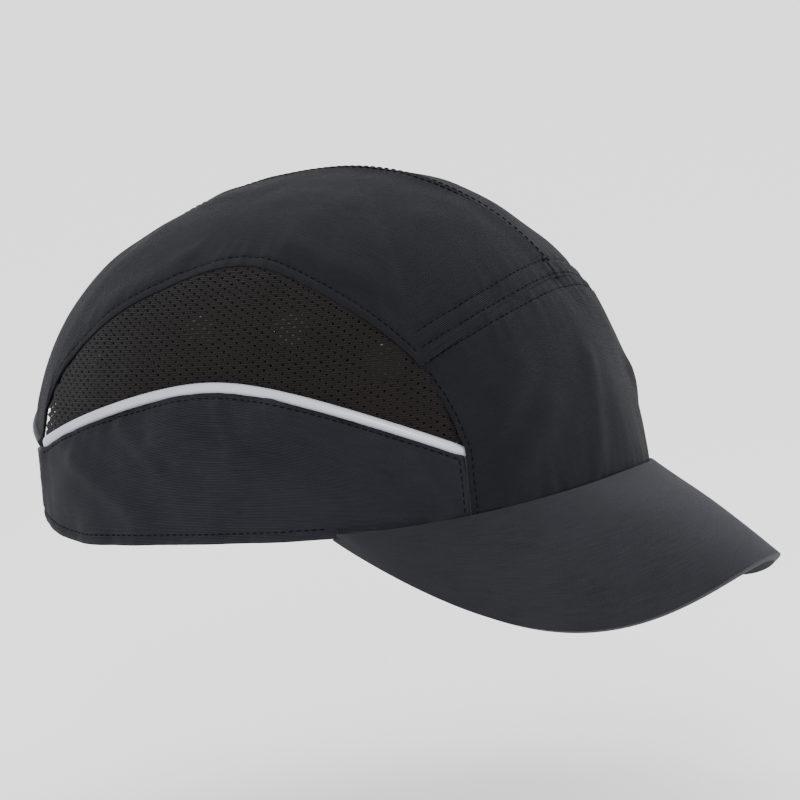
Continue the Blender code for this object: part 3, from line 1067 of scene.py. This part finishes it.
class OBJECT_OT_cap_netting(bpy.types.Operator):
    """Knit the mesh panels over the vents"""

    bl_idname = "object.cap_netting"
    bl_label = "Mesh panels"

    def execute(self, context):
        for side, sign in sides():
            net = netting_piece(f"netting_{side}", sign, LOOKS["mesh"])
            declare_cloth(f"mesh_panel_{side}")
        return {"FINISHED"}


class OBJECT_OT_cap_piping(bpy.types.Operator):
    """Lay the reflective piping"""

    bl_idname = "object.cap_piping"
    bl_label = "Piping"

    def execute(self, context):
        radius = context.scene.bump_cap_sizes.piping_radius
        for side, sign in sides():
            path = []
            for step in range(141):
                degrees = FRONT_SEAM_DEG - 1.2 + (MESH_REAR_DEG - FRONT_SEAM_DEG + 2.4) * step / 140
                tucked = max(1 - step / 5, 1 - (140 - step) / 5, 0) * 0.0030
                point = inside(degrees, piping_height(degrees) + 0.0004, 0.0006 + tucked)
                path.append(Vector((point.x * sign, point.y, point.z)))
            line = cord_tube(f"piping_cloth_{side}", path, radius, "cap", LOOKS["piping"])
            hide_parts(f"piping_{side}")
        return {"FINISHED"}


class OBJECT_OT_cap_brim(bpy.types.Operator):
    """Cover the brim"""

    bl_idname = "object.cap_brim"
    bl_label = "Brim"

    def execute(self, context):
        cut = (0.290, 0.070)
        wall = context.scene.bump_cap_sizes.brim_wall
        brim = sheet_piece("brim_cloth", brim_place, 200, 50, cut, "cap", LOOKS["brim"], wall)
        edge = brim.modifiers.new("edge", "BEVEL")
        edge.width = 0.0013
        edge.segments = 3
        edge.limit_method = "ANGLE"
        edge.angle_limit = math.radians(50)
        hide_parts("brim_cover_top", "brim_cover_under", "brim_board")
        return {"FINISHED"}


class OBJECT_OT_cap_bands(bpy.types.Operator):
    """Sew the sweatband, the bindings and the tapes inside"""

    bl_idname = "object.cap_bands"
    bl_label = "Sweatband and bindings"

    def execute(self, context):
        band = padded_patch(
            "sweatband_terry",
            band_place(lambda turn: rim_height(turn) + 0.0012, 0.0245, -147, 147, 0.0014),
            band_place(
                lambda turn: rim_height(turn) + 0.0012, 0.0245, -147, 147, 0.0019, 0.0011, 0.0003,
            ),
            220, 8, "cap", LOOKS["terry"],
        )
        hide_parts("sweatband")
        path = []
        for step in range(101):
            degrees = MESH_REAR_DEG + 0.5 + (360 - 2 * MESH_REAR_DEG - 1) * step / 100
            low = crown_panel_height(min(degrees, 360 - degrees))
            path.append(inside(degrees, low - 0.0003, 0.0005))
        binding = cord_tube("arch_tape", path, 0.0015, "cap", LOOKS["tape"])
        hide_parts("arch_binding")
        repaint("centre_seam_tape", "foam")
        return {"FINISHED"}


class OBJECT_OT_cap_straps(bpy.types.Operator):
    """Make the rear strap, its loop and its patches"""

    bl_idname = "object.cap_straps"
    bl_label = "Rear strap"

    def execute(self, context):
        tape = LOOKS["tape"]
        spans = (
            ("strap_tape_right", STRAP_START_DEG - 4, BUCKLE_START_DEG + 1.6, "strap_right"),
            ("strap_tape_left", BUCKLE_END_DEG - 0.2, 360 - STRAP_START_DEG + 4, "strap_left"),
        )
        for name, start, end, node in spans:
            length = math.radians(end - start) * 0.11
            place = strap_place(start, end, STRAP_DEPTH)
            strap = sheet_piece(name, place, 60, 20, (length, 0.020), "cap", tape, STRAP_WALL)
            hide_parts(node)
        length = math.radians(TAIL_END_DEG - BUCKLE_END_DEG) * 0.11 + 0.006
        tail = sheet_piece(
            "strap_tail_tape", tail_place, 90, 20, (length, 0.020), None, tape, STRAP_WALL,
        )
        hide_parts("strap_tail")
        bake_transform(tail)
        loop = buckle_piece(LOOKS["buckle"])
        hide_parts("strap_buckle")
        for node, look in (("loop_patch", "pile"), ("hook_patch", "hooks")):
            repaint(node, look)
        return {"FINISHED"}


class OBJECT_OT_cap_insert(bpy.types.Operator):
    """Mould the hard insert and cut its pads"""

    bl_idname = "object.cap_insert"
    bl_label = "Hard insert"

    def execute(self, context):
        shell = vented_shell(LOOKS["shell"])
        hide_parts("bump_shell")
        for name, start, end in (
            ("front", -36, 36), ("rear", 146, 214), ("right", 62, 118), ("left", -118, -62),
        ):
            low = SHELL_LOW + 0.004
            back = insert_place(low, 0.062, start, end, PAD_DEPTH + 0.0006)
            face = insert_place(low, 0.062, start, end, PAD_DEPTH + 0.0030, PAD_WALL - 0.0030)
            pad = padded_patch(f"pad_foam_{name}", back, face, 28, 12, "insert", LOOKS["foam"])
            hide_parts(f"pad_{name}")
        shape = dome_sheet(72, 14, 0.108, PAD_DEPTH + 0.0006, None)
        face = dome_sheet(72, 14, 0.108, PAD_DEPTH + 0.0036, lambda turn, up: 0.0021 * min(
            1, up * 3,
        ))
        loose = bpy.data.meshes.new("pad_face")
        face.to_mesh(loose)
        face.free()
        shape.from_mesh(loose)
        bpy.data.meshes.remove(loose)
        bmesh.ops.bridge_loops(shape, edges=[edge for edge in shape.edges if edge.is_boundary])
        pad = object_from(shape, "pad_foam_crown", "insert", LOOKS["foam"], rounds=1)
        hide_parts("pad_crown")
        for number in range(1, 5):
            for node, look in ((f"hook_tab_{number}", "hooks"), (f"loop_tab_{number}", "pile")):
                repaint(node, look)
        return {"FINISHED"}


class OBJECT_OT_cap_stitches(bpy.types.Operator):
    """Sew the visible rows of stitches"""

    bl_idname = "object.cap_stitches"
    bl_label = "Stitches"

    def execute(self, context):
        pitch = context.scene.bump_cap_sizes.stitch_pitch
        lift = 0.0001
        across = []
        for number in range(3):
            across.append(crown_run(
                lambda turn: (turn, row_heights(turn)[number]), -49.5, 49.5,
                lambda turn, height: lift + (
                    front_relief(turn, height) if height < front_panel_height(turn)
                    else crown_relief(abs(turn), height, 1 if turn > 0 else -1)
                ),
            ))
        rows = {"stitches_front": across}
        for side, sign in sides():
            def on_side(turn, height):
                return lift + side_relief(turn, height, sign)

            def on_crown(turn, height):
                return lift + crown_relief(turn, height, sign)

            start = FRONT_SEAM_DEG
            seam = [
                crown_run(lambda rise: (start + 1.35, rise), 0.002, 0.024, on_side, 60, sign),
                crown_run(
                    lambda rise: (seam_degrees(rise) - 1.15, rise), 0.003, 0.054,
                    lambda turn, height: lift + front_relief(turn, height), 60, sign,
                ),
            ]
            edge = crown_run(
                lambda turn: (turn, crown_edge_rise(turn, 0.0040)), 50.5, 148, on_crown, 260, sign,
            )
            under = crown_run(
                lambda turn: (turn, piping_height(turn) - 0.0031), 45.5, 147, on_side, 200, sign,
            )
            hem = crown_run(
                lambda turn: (turn, rim_height(turn) + 0.0036), 74, 147, on_side, 160, sign,
            )
            rear = crown_run(
                lambda rise: (SIDE_REAR_DEG - 1.3, rise), 0.010, 0.030, on_side, 30, sign,
            )
            rows[f"stitches_{side}"] = [*seam, edge, under, hem, rear]
            centre = []
            for step in range(161):
                rise = math.radians(43) + (math.pi - math.radians(43 + 26)) * step / 160
                degrees = 0 if rise < math.pi / 2 else 180
                height = min(CROWN_HEIGHT * math.sin(rise), CROWN_HEIGHT * 0.9999)
                point = inside(degrees, height, -lift - 0.0007)
                centre.append((point + Vector((sign * 0.0022, 0, 0)), crown_normal(degrees, height)))
            rows[f"stitches_centre_{side}"] = [centre]
        for name, runs in rows.items():
            row = thread_rows(name, runs, "cap", LOOKS["thread"], pitch)
        return {"FINISHED"}


FLOOR_Z = -0.112
WORLD_STRENGTH = 1.9
CAMERA_DISTANCE = 1.6
# Width of the view at the aim, and the aim's place right of and above the origin in the view.
CAMERA_WIDTH = 0.288
CAMERA_AIM = (0.0201, 0.0378)
# Name, place, watts and width of each soft lamp.
LAMPS = (
    ("key", (-1.5, -0.7, 0.7), 22, 0.6),
    ("fill", (-1.3, 0.9, 0.5), 0.5, 1.2),
    ("front", (-0.2, -1.7, 0.9), 7, 0.8),
    ("top", (0.2, 0.3, 1.7), 1, 1.2),
)


class OBJECT_OT_cap_stage(bpy.types.Operator):
    """Set the floor, the lights and the camera"""

    bl_idname = "object.cap_stage"
    bl_label = "Stage"

    def execute(self, context):
        sizes = context.scene.bump_cap_sizes
        shape = bmesh.new()
        bmesh.ops.create_grid(shape, x_segments=1, y_segments=1, size=6)
        floor = linked_object(shape, "floor")
        floor.location.z = FLOOR_Z
        paint, _, shader = base_material("matt_white_paint", 0.9)
        shader.inputs["Base Color"].default_value = linear("#ffffff")
        floor.data.materials.append(paint)
        world = bpy.data.worlds.new("studio")
        world.use_nodes = True
        world.node_tree.nodes["Background"].inputs[0].default_value = (1, 1, 1, 1)
        world.node_tree.nodes["Background"].inputs[1].default_value = WORLD_STRENGTH
        context.scene.world = world
        turn = math.radians(-sizes.camera_turn)
        rise = math.radians(sizes.camera_rise)
        toward = Vector((
            math.sin(turn) * math.cos(rise), -math.cos(turn) * math.cos(rise), math.sin(rise),
        ))
        right = Vector((math.cos(turn), math.sin(turn), 0))
        up = toward.cross(right)
        lean = math.radians(sizes.camera_roll)
        view_right = right * math.cos(lean) - up * math.sin(lean)
        view_up = right * math.sin(lean) + up * math.cos(lean)
        aim = view_right * CAMERA_AIM[0] + view_up * CAMERA_AIM[1]
        eye = bpy.data.objects.new("camera", bpy.data.cameras.new("camera"))
        eye.data.sensor_width = 36
        eye.data.lens = 36 * CAMERA_DISTANCE / CAMERA_WIDTH
        eye.matrix_world = Matrix.Translation(aim + toward * CAMERA_DISTANCE) @ Matrix((
            view_right, view_up, toward,
        )).transposed().to_4x4()
        context.scene.collection.objects.link(eye)
        context.scene.camera = eye
        for name, place, energy, size in LAMPS:
            lamp = bpy.data.lights.new(name, "AREA")
            lamp.energy = energy
            lamp.size = size
            holder = bpy.data.objects.new(name, lamp)
            holder.location = place
            aim_turn = (Vector((0, 0, 0.05)) - Vector(place)).to_track_quat("-Z", "Y")
            holder.rotation_euler = aim_turn.to_euler()
            context.scene.collection.objects.link(holder)
        return {"FINISHED"}


OPERATORS = (
    OBJECT_OT_cap_looks,
    OBJECT_OT_cap_stage,
    OBJECT_OT_cap_panels,
    OBJECT_OT_cap_netting,
    OBJECT_OT_cap_piping,
    OBJECT_OT_cap_brim,
    OBJECT_OT_cap_bands,
    OBJECT_OT_cap_straps,
    OBJECT_OT_cap_insert,
    OBJECT_OT_cap_stitches,
)


class VIEW3D_PT_bump_cap(bpy.types.Panel):
    """Lists the cap's sizes, colours and pieces"""

    bl_label = "Bump Cap"
    bl_idname = "VIEW3D_PT_bump_cap"
    bl_space_type = "VIEW_3D"
    bl_region_type = "UI"
    bl_category = "Bump Cap"

    def draw(self, context):
        for group in (context.scene.bump_cap_dye, context.scene.bump_cap_sizes):
            for key in group.bl_rna.properties.keys():
                if key not in ("rna_type", "name"):
                    self.layout.prop(group, key)
        for made in OPERATORS:
            self.layout.operator(made.bl_idname)


CLASSES = (BumpCapDyeAndShade, BumpCapSizes, *OPERATORS, VIEW3D_PT_bump_cap)


def register():
    for made in CLASSES:
        bpy.utils.register_class(made)
    bpy.types.Scene.bump_cap_dye = bpy.props.PointerProperty(type=BumpCapDyeAndShade)
    bpy.types.Scene.bump_cap_sizes = bpy.props.PointerProperty(type=BumpCapSizes)


def unregister():
    del bpy.types.Scene.bump_cap_sizes
    del bpy.types.Scene.bump_cap_dye
    for made in reversed(CLASSES):
        bpy.utils.unregister_class(made)


def main():
    register()
    bpy.ops.object.cap_looks()
    bpy.ops.object.cap_stage()
    bpy.ops.object.cap_panels()
    bpy.ops.object.cap_netting()
    bpy.ops.object.cap_piping()
    bpy.ops.object.cap_brim()
    bpy.ops.object.cap_bands()
    bpy.ops.object.cap_straps()
    bpy.ops.object.cap_insert()
    bpy.ops.object.cap_stitches()


if __name__ == "__main__":
    main()
